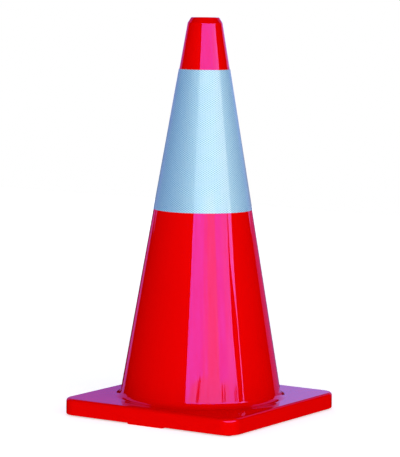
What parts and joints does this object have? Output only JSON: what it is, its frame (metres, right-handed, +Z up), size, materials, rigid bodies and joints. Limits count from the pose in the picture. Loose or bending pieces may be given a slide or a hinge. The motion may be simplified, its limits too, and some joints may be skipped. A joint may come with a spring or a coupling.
{
  "type": "traffic cone",
  "caption": "Tall hollow traffic cone with a bevelled open top, a wide reflective sleeve that lifts off, and a heavy square base with rounded edges and feet.",
  "frame": {"origin": "on the ground under the axis of the cone, at the centre of the square base", "axes": "+Z up along the cone's axis; X and Y along the sides of the base"},
  "size_m": [0.357, 0.357, 0.7],
  "materials": {
    "red_pvc": "high-gloss flexible PVC, moulded, signal red",
    "recycled_pvc": "coarse, matt recycled PVC",
    "white_pvc": "smooth white flexible PVC film",
    "reflective_sheeting": "clear glossy face over a fine diamond lattice of prisms",
    "seam_film": "welded strip of clear-coated white film"
  },
  "bodies": {
    "cone": {"cone_shell": "red_pvc", "base_cover": "red_pvc", "base_ballast": "recycled_pvc"},
    "collar": {"collar_backing": "white_pvc", "collar_sheeting": "reflective_sheeting", "collar_seam_strip": "seam_film"}
  },
  "joints": [
    {"name": "collar_lift", "type": "slide", "parent": "cone", "child": "collar", "axis": [0, 0, 1], "range_m": [0, 0.36]}
  ]
}
